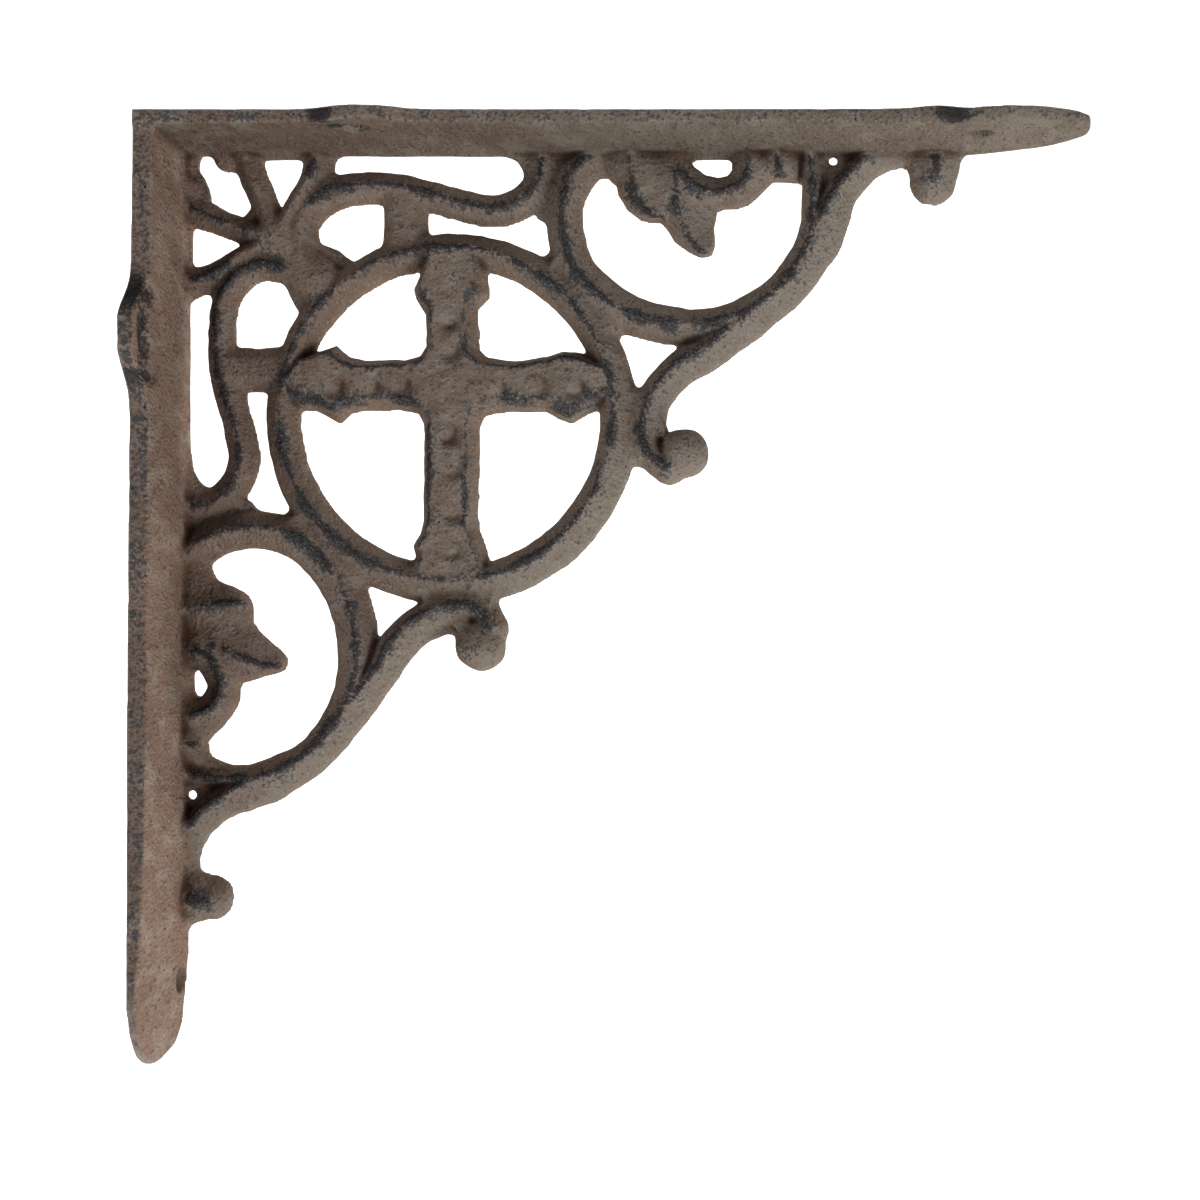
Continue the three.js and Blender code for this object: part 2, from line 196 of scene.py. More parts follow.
def layered(points, layers):
    """Smooth noise in several layers at an array of points."""
    return sum(amount * lumps(points, size, seed) for amount, size, seed in layers)


def squared_gap(a, b, u, v):
    """Squared distance to the segment from a to b, for grids of u and v."""
    edge = b - a
    t = np.clip(((u - a[0]) * edge[0] + (v - a[1]) * edge[1]) / (edge @ edge + 1e-9), 0, 1)
    return (u - a[0] - t * edge[0]) ** 2 + (v - a[1] - t * edge[1]) ** 2


def line_distance(points, u, v):
    """Distance to an open line of points, for grids of u and v."""
    nearest = np.full(np.broadcast(u, v).shape, FAR ** 2)
    for a, b in zip(points[:-1], points[1:]):
        nearest = np.minimum(nearest, squared_gap(a, b, u, v))
    return np.sqrt(nearest)


def outline_distance(outline, u, v):
    """Signed distance to a closed outline, negative inside, for grids of u and v."""
    outline = np.array(outline, float)
    nearest = line_distance(np.vstack([outline, outline[:1]]), u, v)
    inside = np.zeros(nearest.shape, bool)
    for a, b in zip(outline, np.roll(outline, -1, axis=0)):
        if a[1] != b[1]:
            crosses = (v < a[1]) != (v < b[1])
            inside ^= crosses & (u < a[0] + (v - a[1]) / (b[1] - a[1]) * (b[0] - a[0]))
    return nearest * np.where(inside, -1, 1)


# The iron, as a field of distances on the grid: negative inside

def grid_line(length):
    count = math.ceil(length / CELL) + 2 * MARGIN_CELLS
    return (np.arange(count) + 0.5 - MARGIN_CELLS) * CELL


grid_x = grid_line(shelf_reach)
grid_d = grid_line(wall_drop)
grid_h = grid_line(full_height)
field = np.full((len(grid_x), len(grid_d), len(grid_h)), FAR, np.float32)
low_layers = int(np.searchsorted(grid_h, ORNAMENT_TOP))
low_h = grid_h[:low_layers].astype(np.float32)
# How far each place of the openwork lies from the nearest crest line
crest_map = np.full(field.shape[:2], FAR, np.float32)


def around(points, room=SHAPE_MARGIN):
    """The window round a point or points: the slices of the grid that hold them, with room."""
    points = np.atleast_2d(points)
    low, high = points.min(0) - room, points.max(0) + room
    x = slice(*np.searchsorted(grid_x, [low[0], high[0]]))
    d = slice(*np.searchsorted(grid_d, [low[1], high[1]]))
    return x, d


def sides(window):
    """The window's places, as a column of x and a row of d."""
    return grid_x[window[0], None], grid_d[None, window[1]]


def out_from(middle, window):
    """How far each place of a window lies from a middle."""
    x, d = sides(window)
    return np.hypot(x - middle[0], d - middle[1])


def join(window, shape, blend):
    """Adds a shape to the low layers of a window, with a fillet."""
    part = field[window[0], window[1], :low_layers]
    part[...] = smooth_min(part, shape.astype(np.float32), blend)


def cut(window, shape, blend):
    """Takes a shape out of the low layers of a window."""
    part = field[window[0], window[1], :low_layers]
    part[...] = smooth_max(part, -shape.astype(np.float32), blend)


def ink(window, distance):
    """Notes the distance to a crest line, for the dark marks along it."""
    part = crest_map[window[0], window[1]]
    part[...] = np.minimum(part, distance)


def nearest_on(line, pad):
    """The window round a line, each point's signed distance to it, and how far along it is nearest."""
    window = around(line, pad)
    x, d = grid_x[window[0]], grid_d[window[1]]
    distance = np.full((len(x), len(d)), FAR)
    side = np.ones_like(distance)
    share = np.zeros_like(distance)
    lengths = np.hypot(*np.diff(line, axis=0).T)
    ends = np.concatenate([[0], np.cumsum(lengths)]) / lengths.sum()
    for index, (a, b) in enumerate(zip(line[:-1], line[1:])):
        rows = slice(*np.searchsorted(x, [min(a[0], b[0]) - pad, max(a[0], b[0]) + pad]))
        columns = slice(*np.searchsorted(d, [min(a[1], b[1]) - pad, max(a[1], b[1]) + pad]))
        du, dv = x[rows, None] - a[0], d[None, columns] - a[1]
        edge = b - a
        t = np.clip((du * edge[0] + dv * edge[1]) / (edge @ edge), 0, 1)
        found = np.hypot(du - t * edge[0], dv - t * edge[1])
        nearer = found < distance[rows, columns]
        distance[rows, columns][nearer] = found[nearer]
        side[rows, columns][nearer] = np.sign(du * edge[1] - dv * edge[0])[nearer]
        share[rows, columns][nearer] = (ends[index] + t * (ends[index + 1] - ends[index]))[nearer]
    return window, distance * side, share


def ridge(reach, half, height, crest=CREST_SHARE):
    """Field of a ridge: a steep wall, then a slope up to its crest. Reach is the distance from there."""
    reach, half, height = (np.asarray(value)[..., None] for value in (reach, half, height))
    rise, run = SHOULDER_UP * height, (1 - SHOULDER_OUT) * half
    wall = ((reach - half) * rise + low_h * run) / np.hypot(rise, run)
    rise, run = (1 - SHOULDER_UP) * height, (SHOULDER_OUT - crest) * half
    slope = (reach - SHOULDER_OUT * half) * rise + (low_h - SHOULDER_UP * height) * run
    slope = slope / np.hypot(rise, run)
    return smooth_max(smooth_max(wall, slope, SHOULDER_ROUNDING), low_h - height, CREST_ROUNDING)


def places_in(window):
    x, d = np.meshgrid(grid_x[window[0]], grid_d[window[1]], indexing="ij")
    return np.stack([x, d], axis=-1)


def edge_noise(window):
    """The small unevenness of a cast outline, in millimetres."""
    return layered(places_in(window), EDGE_LAYERS) - SWELL


def face_noise(window):
    """The lumps of a cast face, from about -1 to 1."""
    return layered(places_in(window), FACE_LAYERS)


def bar(points, left, right, heights, crest=CREST_SHARE, blend=FILLET, inked=(0, 1), mark_width=1.0):
    """A ridged bar along a smooth line, with its half widths to the left and right of that line.
    Inked is the part of the line whose crest is marked dark."""
    line = smooth_line(points)
    window, side, share = nearest_on(line, max(left) + max(right))
    half = np.where(side > 0, level(left, share), level(right, share))
    height = level(heights, share)
    join(window, ridge(np.abs(side) + edge_noise(window), half, height, crest), blend)
    if inked:
        bare = np.maximum(inked[0] - share, share - inked[1])
        ink(window, np.abs(side) / mark_width + INK_FADE * np.maximum(bare, 0))


def relief(outline, crests, height, hole):
    """A form with a hole, whose face rises from the shoulder at its outline to its crest lines."""
    outline = np.array(outline, float)
    window = around(outline)
    x, d = sides(window)
    edge = outline_distance(outline, x, d) - LEAF_SWELL
    edge = np.maximum(edge, -outline_distance(hole, x, d))
    edge = edge + edge_noise(window)
    near = np.min([line_distance(smooth_line(crest), x, d) for crest in crests], axis=0)
    inside = np.maximum(-edge, 0.05)
    top = height * (SHOULDER_UP + (1 - SHOULDER_UP) * inside / (inside + near))
    wall = (edge[..., None] + low_h * LEAF_DRAFT) / math.hypot(1, LEAF_DRAFT)
    join(window, smooth_max(wall, (low_h - top[..., None]) * 0.85, EDGE_ROUNDING), FILLET)
    ink(window, near)


def boss(centre, radius, height, lump=0.0, speckle=None):
    """A rounded boss on the flat back, lumpy by an amount in millimetres, with dark specks on its top."""
    window = around(centre, radius + SHAPE_MARGIN)
    out = out_from(centre, window) + edge_noise(window)
    if speckle is not None:
        ink(window, speckle + 0.35 * out)
    out = (out - lump * face_noise(window))[..., None]
    wall = out - radius + BOSS_DRAFT * low_h
    dome = np.hypot(out / radius, low_h / height) - 1
    join(window, smooth_max(wall, dome * min(radius, height) * 0.9, BOSS_ROUNDING), FILLET)


def filled(pixels):
    """A web where the photograph shows iron, from its corners there."""
    web(seen(pixels), blend=0.8)


def web(corners, height=WEB_HEIGHT, blend=1.2):
    """A thin web between bars."""
    corners = np.array(corners, float)
    window = around(corners)
    outline = (outline_distance(corners, *sides(window)) + edge_noise(window))[..., None]
    join(window, smooth_max(outline, low_h - height, EDGE_ROUNDING), blend)


# One half of the openwork. Places are along the strap and off it, from the straps' inner corner.

def on_shelf_half(place):
    return WALL_THICKNESS + place[0], SHELF_THICKNESS + place[1]


def on_wall_half(place):
    return WALL_THICKNESS + place[1], SHELF_THICKNESS + place[0] - WALL_HALF_SHIFT


def on_back(pixel, height=0.0):
    """The place on the back plane under a pixel of the photograph that shows a point of that height."""
    share = 1 - height / LENS_DISTANCE
    x = FOOT_PIXEL[0] - CORNER_PIXEL[0] + (pixel[0] - FOOT_PIXEL[0]) * share
    d = FOOT_PIXEL[1] - CORNER_PIXEL[1] + (pixel[1] - FOOT_PIXEL[1]) * share
    return x * PIXEL_MM, d * PIXEL_MM


def placed(places, place):
    return [place(one) for one in places]


def shares(size, *values):
    return [size * value for value in values]


def seen(pixels, height=0.8):
    """Places of the given height, from where they are seen in the photograph."""
    return [on_back(pixel, height) for pixel in pixels]


# Where the two halves of the casting differ
SHELF_HALF = {
    "place": on_shelf_half,
    "loop_out": [3.9, 3.8, 3.7, 3.4, 3.3, 3.4, 3.5, 3.6, 3.7],
    "loop_in": [3.2, 3.5, 4.1, 3.7, 3.6, 3.5, 3.5, 3.6, 3.7],
    "loop_ink": (0.24, 1),
    "prong_ink": [None, (0, 0.35)],
    "knot_web": [(28.0, 19.0), (33.0, 21.0), (35.5, 23.0), (36.5, 26.0), (28.0, 28.0)],
    "web_end": 31.6,
    "curl_end": [(101.6, 65.8), (105.6, 69.0)],
    "ball": (108.9, 65.3),
    "ball_radius": 5.5,
    "c_in": [3.7, 3.9, 4.3, 5.0, 4.5, 3.8, 3.3, 2.3, 2.5],
    "inset": 0.0,
    "terminal": [(163.8, -1.6), (163.9, 3.0), (163.8, 5.0), (163.7, 5.6)],
    "terminal_half": [6.6, 6.4, 5.9, 5.5, 5.1],
    "tiny_hole": (833, 162.5),
    "leaf": [
        (606, 146), (607, 172), (612, 180), (618, 185), (620, 194), (628, 208.5), (641, 219.5),
        (652, 222), (662, 221.5), (668, 228), (675, 241), (689, 252), (702, 256.5), (711, 254.5),
        (713.5, 246), (713.5, 228), (716.5, 211.5), (724, 209), (736, 208), (748, 203.5), (758, 196),
        (767, 187), (773, 182.5), (784, 181.5), (799, 183), (802, 146),
    ],
    "stem_hole": [
        (691, 163.5), (695, 159), (704, 157.5), (728, 158.4), (731.8, 162), (731.8, 171), (728, 177),
        (719, 178.5), (707, 175.5), (695, 168),
    ],
    "veins": [
        [(630, 146), (632, 180), (635, 197), (645, 209), (657, 215)],
        [(674, 172), (676, 200), (680, 219), (689, 238), (701, 249)],
        [(680, 170), (689, 180), (701, 187.5), (719, 190.5), (737, 184.5), (746, 175.5), (749, 158)],
        [(775, 146), (779, 168)],
    ],
}
WALL_HALF = {
    "place": on_wall_half,
    "loop_out": [3.8, 3.2, 2.6, 2.6, 3.1, 3.3, 3.5, 3.6, 3.7],
    "loop_in": [2.8, 3.2, 3.5, 3.3, 3.4, 3.3, 3.4, 3.6, 3.7],
    "loop_ink": (0.1, 1),
    "prong_ink": [(0.0, 0.8), (0, 0.6)],
    "knot_web": [(28.6, 21.0), (32.2, 22.8), (34.4, 24.1), (37.4, 26.6), (28.6, 28.0)],
    "web_end": 30.2,
    "curl_end": [(101.6, 65.0), (105.4, 67.4)],
    "ball": (109.1, 64.7),
    "ball_radius": 5.7,
    "c_in": [3.9, 4.3, 4.9, 5.7, 5.5, 4.6, 3.4, 2.4, 2.3],
    "inset": 0.75,
    "terminal": [(163.9, -1.6), (163.9, 3.0), (163.9, 4.0), (163.9, 4.8)],
    "terminal_half": [6.6, 6.3, 5.8, 5.4, 4.9],
    "tiny_hole": (194, 794.5),
    "leaf": [
        (178, 558), (205, 560), (211, 572), (216, 582), (224, 586.5), (234, 588.5), (243, 592),
        (249, 597), (252, 604), (252, 613), (252.5, 624), (258, 631), (270, 642), (280, 652),
        (286.5, 659), (286.5, 664), (284, 669), (276, 672.5), (264, 675.5), (252, 679), (242, 681.5),
        (239, 688), (238.5, 698), (235.5, 708), (230, 717), (222, 725.5), (212, 735), (207, 742),
        (208, 751), (212, 758), (222, 762), (230, 767), (178, 770),
    ],
    "stem_hole": [
        (196, 669), (200, 671), (205, 679), (208.5, 686), (207, 692), (203, 697), (198, 697.5), (194, 693),
        (193, 684), (193.5, 674),
    ],
    "veins": [
        [(178, 610), (215, 603.5), (240, 602), (247, 606)],
        [(212, 646), (230, 652), (245, 658), (262, 664), (277, 666)],
        [(196, 650), (210, 657), (219, 672), (219, 690), (211, 706), (190, 716)],
        [(178, 745), (196, 745)],
    ],
}


def half_bar(half, points, left, right, heights, **more):
    """A bar of one half; the wall half mirrors the shelf half, so its sides change places."""
    if half is WALL_HALF:
        left, right = right, left
    bar(placed(points, half["place"]), left, right, heights, **more)


def half_web(half, corners, height=WEB_HEIGHT):
    web(placed(corners, half["place"]), height)


def lily_prongs(half):
    inner = [(11.5, -1.6), (13.9, 3.9), (15.8, 8.3), (17.2, 12.1), (19.4, 17.3)]
    outer = [(29.0, -1.6), (27.7, 4.5), (25.7, 8.3), (23.4, 12.1), (21.0, 17.3)]
    halves = shares(PRONG_WIDTH / 2, 1.5, 1.2, 1.12, 1.15, 1.3)
    heights = shares(LOW_RIDGE_HEIGHT, 0.8, 1, 1.1, 1.2, 1.3)
    half_bar(half, inner, halves, halves, heights, inked=half["prong_ink"][0])
    half_bar(half, outer, halves, halves, heights, inked=half["prong_ink"][1])
    boss(half["place"]((8.6, 0.3)), 3.2, LOW_RIDGE_HEIGHT * 0.8)
    half_web(half, [(17.0, -1.6), (25.0, -1.6), (25.0, 0.5), (17.0, 0.5)])
    end = half["web_end"]
    corner = [(28.0, -1.6), (end, -1.6), (end, 3.2), (end + 1.8, 5.4), (28.0, 12.0), (25.0, 10.0)]
    half_web(half, corner)


def loop_and_snake(half):
    line = [
        (30.0, 27.5), (25.6, 21.0), (25.2, 14.7), (28.4, 10.1), (33.4, 7.5), (39.2, 6.8), (46.2, 7.2),
        (53.9, 9.0), (60.6, 10.9), (67.2, 12.1), (72.7, 10.5), (76.4, 7.0), (78.0, 2.8), (78.2, -1.6),
    ]
    heights = shares(LOW_RIDGE_HEIGHT, 1.25, 1.1, 1, 1, 1, 1, 1, 0.9, 0.75)
    half_bar(half, line, half["loop_out"], half["loop_in"], heights, inked=half["loop_ink"])
    strut = [(47.6, 9.4), (47.6, 13.0), (47.8, 20.6)]
    halves = shares(STRUT_WIDTH / 2, 1.12, 1.1, 1.25)
    half_bar(half, strut, halves, halves, shares(LOW_RIDGE_HEIGHT, 0.9, 0.85, 1), crest=0.4, inked=None)
    half_web(half, [(69.0, -1.6), (78.0, -1.6), (77.0, 5.0), (74.0, 4.0), (72.4, 1.0)])
    half_web(half, [(76.0, 9.0), (83.0, 6.0), (82.0, 15.4), (79.0, 15.0), (76.6, 13.6)])
    half_web(half, [(79.4, 21.4), (83.0, 20.0), (84.0, 28.0), (77.0, 24.0)])
    half_web(half, half["knot_web"])


def c_scroll(half):
    line = [
        (91.7, -1.6), (87.0, 2.1), (84.0, 7.2), (82.6, 13.4), (83.2, 19.6), (85.4, 25.6), (90.4, 31.2),
        (96.8, 35.3), (104.0, 37.3), (111.8, 37.9), (118.6, 36.5), (124.6, 33.6), (130.4, 29.0),
        (134.4, 23.3), (136.6, 17.3), (137.2, 11.6), (137.2, 6.0), (136.3, -1.6),
    ]
    outer = [3.7, 3.9, 3.9, 3.6, 3.9, 3.5, 2.7, 2.6, 2.3]
    heights = shares(RIDGE_HEIGHT, 0.75, 0.95, 1, 1, 1, 1, 0.98, 0.9, 0.7)
    half_bar(half, line, half["c_in"], outer, heights)
    saddle = [(82.4, 25.3), (88.0, 32.0), (93.0, 37.8)]
    halves = [3.5, 3.6, 2.8]
    half_bar(half, saddle, halves, halves, [4.6, 5.2, 4.6], crest=0.7, blend=1.6, inked=None)
    half_web(half, [(78.0, -1.6), (92.0, -1.6), (85.0, 8.0), (80.5, 12.0)])
    root = [
        (85.0, -1.6), (100.0, -1.6), (96.0, 9.0), (94.4, 5.6), (92.6, 4.6), (90.2, 4.7), (87.4, 7.6),
        (84.0, 9.0),
    ]
    half_web(half, root)


def outer_scroll(half):
    inset = half["inset"]
    line = [
        (160.0, -1.4), (154.2, -1.2), (149.2, 0.8), (145.2, 4.4), (142.3, 8.0), (140.4, 11.2),
        (138.6, 15.0), (136.3, 20.6), (131.9, 28.0), (125.0, 33.8), (119.6, 38.2), (114.0, 42.6),
        (108.9, 45.4), (105.4, 48.6), (102.6, 52.0), (100.9, 56.0), (100.2, 61.2),
    ] + half["curl_end"]
    line = [(along - inset, off - inset * 0.4) for along, off in line]
    lower = [3.8, 4.3, 4.4, 4.5, 5.9, 6.4, 5.4, 4.8, 4.9, 5.0, 4.6, 4.5, 4.5, 4.4, 4.5, 4.0, 3.2]
    upper = [2.4, 2.5, 2.5, 2.5, 2.6, 2.8, 2.8, 2.8, 2.8, 2.8, 3.2, 3.5, 3.4, 3.0, 2.6, 2.9, 3.3]
    heights = shares(RIDGE_HEIGHT, 0.6, 0.8, 0.95, 1, 1, 1, 1, 1, 1)
    half_bar(half, line, lower, upper, heights)
    ball = half["ball"]
    ball_place = half["place"]((ball[0] - inset, ball[1] - inset * 0.7))
    boss(ball_place, half["ball_radius"], CURL_HEIGHT, lump=0.25, speckle=0.9)
    ends, rises = half["terminal_half"], shares(RIDGE_HEIGHT, 0.7, 0.9, 1, 0.95, 0.8)
    half_bar(half, half["terminal"], ends, ends, rises, crest=0.15, mark_width=2.0)
    half_web(half, [(136.3, -1.6), (152.0, -1.6), (144.0, 9.0), (139.6, 15.0)])
    saddle = [(97.6, 53.6), (97.6, 60.0), (98.0, 65.6)]
    halves = [2.6, 2.6, 2.6]
    half_bar(half, saddle, halves, halves, [4.0, 4.6, 4.2], crest=0.6, blend=1.6, inked=None)
    half_web(half, [(103.4, 58.0), (105.4, 60.0), (104.6, 62.0), (102.6, 61.6)], RIDGE_HEIGHT * 0.6)


def leaf(half):
    veins = [seen(vein, RIDGE_HEIGHT) for vein in half["veins"]]
    relief(seen(half["leaf"]), veins, RIDGE_HEIGHT, seen(half["stem_hole"]))


def tiny_hole(half):
    """The small gap that is left in the web between the two scrolls, beside the strap."""
    middle = on_back(half["tiny_hole"])
    window = around(middle, ROUND_MARGIN)
    cut(window, (out_from(middle, window) - TINY_HOLE_RADIUS)[..., None] + 0 * low_h, 0.3)


def ornament_half(half):
    lily_prongs(half)
    loop_and_snake(half)
    c_scroll(half)
    outer_scroll(half)
    leaf(half)


# The middle of the openwork: the ring, the cross inside it and the knot of the lily

def ring():
    middle = on_shelf_half(RING_MIDDLE)
    window = around(middle, RING_OUTER_RADIUS + ROUND_MARGIN)
    rim = RING_OUTER_RADIUS - out_from(middle, window)
    side = out_from(on_shelf_half(RING_HOLE_MIDDLE), window) - RING_CREST_RADIUS
    half = np.where(side > 0, np.maximum(side + rim, 0.5), RING_CREST_RADIUS - RING_HOLE_RADIUS)
    join(window, ridge(np.abs(side) + edge_noise(window), half, np.full_like(half, RIDGE_HEIGHT)), FILLET)
    ink(window, np.abs(side))


def plate(outline, height, marks):
    """A flat-faced form whose wall and bevel follow its outline, with marks sunk or raised on its face."""
    blend, wall_run, slope_run = 0.8, 0.7, 2.3
    outline = np.array(outline, float)
    window = around(outline)
    x, d = sides(window)
    edge = (outline_distance(outline, x, d) + edge_noise(window))[..., None]
    face = height + CROSS_FACE_LUMPS * face_noise(window)
    for (mark_x, mark_d), radius, rise in marks:
        face = face + rise * np.exp(-(np.hypot(x - mark_x, d - mark_d) / radius) ** 4)
    rise = SHOULDER_UP * height
    wall = (edge * rise + low_h * wall_run) / math.hypot(rise, wall_run)
    rise, run = (1 - SHOULDER_UP) * height, slope_run - wall_run
    bevel = ((edge + wall_run) * rise + (low_h - SHOULDER_UP * height) * run) / math.hypot(rise, run)
    top = low_h - face[..., None]
    join(window, smooth_max(smooth_max(wall, bevel, EDGE_ROUNDING), top, 0.3), blend)
    # The marks along the face's edge are broad where it looks down and fine elsewhere
    looks_down = smooth_step(0.3, 0.8, np.gradient(edge[..., 0], CELL, axis=1))
    ink(window, np.abs(edge[..., 0] + slope_run) * (1.3 - 0.6 * looks_down) + 0.35)


def cross():
    """The cross: its outline on the photograph runs clockwise from the top arm's left side."""
    outline = [
        (424, 241), (422, 258), (419.5, 271), (413, 288), (415, 297), (425, 313), (425.5, 345),
        (419, 355), (404, 359), (363, 359.5), (348, 355.5), (335, 344.5), (318, 350), (300, 355),
        (284, 372), (279, 384), (288, 402), (301, 409), (316, 410), (327, 417), (339, 423.5), (351, 413),
        (365, 411), (399, 410), (417, 413), (423.5, 424), (422.5, 518), (419.5, 533), (411.5, 546),
        (415, 556), (408, 572), (430, 590), (470, 590), (492, 572), (488, 557), (485, 546), (478, 529),
        (478, 431), (483, 416), (496, 411.5), (546, 411), (558, 418), (571, 423), (586, 413), (600, 409),
        (622, 396), (625, 382), (612, 362), (582, 352), (564, 350), (546, 356), (514, 359.5), (487, 357),
        (478, 349), (477.5, 308), (488, 296), (487, 275), (486, 258), (482, 243),
    ]
    studs = [
        (366, 383), (396, 381), (493, 385), (534, 383), (446, 316), (447, 345), (444, 430), (449, 464),
        (450, 508), (449, 546), (330, 383), (572, 385),
    ]
    # Each worn stud stands in a shallow dip, which shows on its lower right
    middle = on_back((447, 379), CROSS_HEIGHT)
    marks = [(middle, 4.7, -0.6), (middle, 3.5, 1.1)]
    dip_radius, dip, stud_radius, stud = 2.7, -1.3, 1.8, 1.2
    for x, d in seen(studs, CROSS_HEIGHT):
        marks += [((x + 0.8, d + 0.7), dip_radius, dip), ((x, d), stud_radius, stud)]
    plate(seen(outline, 2.0), CROSS_HEIGHT, marks)


def lily_knot():
    boss(on_shelf_half((19.8, 18.6)), 5.4, RIDGE_HEIGHT, lump=0.5, speckle=1.3)
    boss(on_shelf_half((28.6, 27.6)), 6.0, RIDGE_HEIGHT * 0.94, lump=0.7, speckle=0.9)
    stalk = placed([(19.8, 18.6), (29.5, 28.8)], on_shelf_half)
    bar(stalk, [3.8, 5.0], [3.8, 5.0], shares(RIDGE_HEIGHT, 0.8, 0.9), crest=0.3, inked=None)


def small_fills():
    """Corners of the openings that the casting left fuller than the bars alone would."""
    filled([
        (186, 152), (199, 160), (198, 166), (199, 172), (205, 180), (209, 190), (210, 199), (204, 206),
        (186, 200),
    ])
    filled([(247, 216), (253, 209), (262, 212), (258, 224), (244, 223)])
    filled([(184, 440), (189, 455), (192, 470), (199, 482), (207, 490), (184, 492)])
    filled([
        (403, 668), (410, 660), (416, 652.5), (422, 645.5), (431, 640), (440, 636), (448, 633.5),
        (455, 635), (458, 641), (463, 638), (463, 624), (430, 630),
    ])


# The straps

def strap_outline(near_edge, tongue, ear):
    """Outline of a strap seen square to its face: along it, then up from the flat back."""
    before, below = -6.0, -4.0
    along = np.arange(near_edge[-1][0], before - 0.5, -1.0)
    height = np.interp(along, *zip(*near_edge))
    from_ear = np.abs((along - ear["middle"]) / (EAR_FLANK * ear["length"]))
    height += ear["reach"] * np.exp(-from_ear ** EAR_POWER)
    tongue = smooth_line(tongue, 1.5)
    back = [(before, below), (tongue[0][0], below)]
    return back + [tuple(one) for one in tongue] + list(zip(along, height))


def strap(outline, far_taper, near_taper, holes, dish):
    """Field of a strap on its own grid: along, through its thickness, and up."""
    along, through, up = grid_d[:, None, None], grid_d[None, :STRAP_CELLS, None], grid_h[None, None, :]
    flat = outline_distance(outline, grid_d[:, None], grid_h[None, :])[:, None, :]
    far, near = (np.interp(grid_d, *zip(*taper))[:, None, None] for taper in (far_taper, near_taper))
    inner = far + (near - far) * np.clip(up / STRAP_WIDTH, 0, 1)
    out = np.hypot((along - dish["along"]) / dish["length"], (up - dish["up"]) / dish["width"])
    inner = inner - dish["depth"] * smooth_step(1.12, 0.88, out)
    shape = smooth_max(through - inner, flat, STRAP_ROUNDING)
    for hole_along, hole_up in holes:
        hole = SCREW_HOLE_RADIUS - np.hypot(along - hole_along, up - hole_up)
        shape = smooth_max(shape, hole, EDGE_ROUNDING)
    return shape.astype(np.float32)


def wall_strap():
    outline = strap_outline(
        near_edge=[(0, 25.3), (30, 26.5), (65, 27.4), (100, 28.3), (130, 28.9), (186, 29.3)],
        tongue=[
            (188, 0), (194, 0.3), (197.4, 3.0), (198.8, 8), (199.7, 13.5), (199.4, 18), (197, 23.2),
            (192, 27.4),
        ],
        ear={"middle": 47.5, "length": 25.0, "reach": 8.4},
    )
    full = WALL_THICKNESS
    return strap(
        outline,
        far_taper=[(0, full), (140, full), (165, 4.1), (181, 3.5), (189, 2.8), (196, 2.2)],
        near_taper=[(0, full), (125, full), (152, 3.6), (173, 2.6), (182, 1.9), (200, 1.7)],
        holes=[(49.0, 26.4), (wall_drop - 16.0, 3.3)],
        dish={"along": 46.6, "up": 27.5, "length": 10.6, "width": 9.6, "depth": 0.9},
    )


def shelf_strap():
    outline = strap_outline(
        near_edge=[
            (0, 25.9), (60, 25.9), (120, 26), (155, 26.2), (161, 26.8), (165, 28.3), (168, 28.8),
            (171, 27.7), (174, 27.2), (176, 28.0), (181, 28.9), (186, 28.6), (190, 27.8),
        ],
        tongue=[
            (169, 0), (175, 0.6), (182, 3), (190, 6.5), (196, 10.4), (199.2, 14.4), (199.8, 18.2),
            (199, 21.8), (196.6, 24.6), (193, 26.6),
        ],
        ear={"middle": 47.7, "length": 24.0, "reach": 3.4},
    )
    full = SHELF_THICKNESS
    return strap(
        outline,
        far_taper=[(0, full), (170, full), (200, 3.0)],
        near_taper=[(0, full), (165, full), (180, 2.6), (200, 2.2)],
        holes=[(45.5, 21.0), (shelf_reach - 23.5, 17.0)],
        dish={"along": 46.0, "up": 22.0, "length": 9.0, "width": 6.0, "depth": 0.3},
    )


def straps():
    """Both straps, joined to the openwork with a soft fillet."""
    wall = wall_strap().transpose(1, 0, 2)
    shelf = shelf_strap()
    rows, columns = field[:wall.shape[0]], field[:, :shelf.shape[1]]
    rows[...] = smooth_min(rows, wall, STRAP_FILLET)
    columns[...] = smooth_min(columns, shelf, STRAP_FILLET)


def trim():
    """The flat back and the two flat outer faces."""
    np.maximum(field, -grid_h[None, None, :], out=field)
    np.maximum(field, -grid_x[:, None, None], out=field)
    np.maximum(field, -grid_d[None, :, None], out=field)


# From the field to a mesh

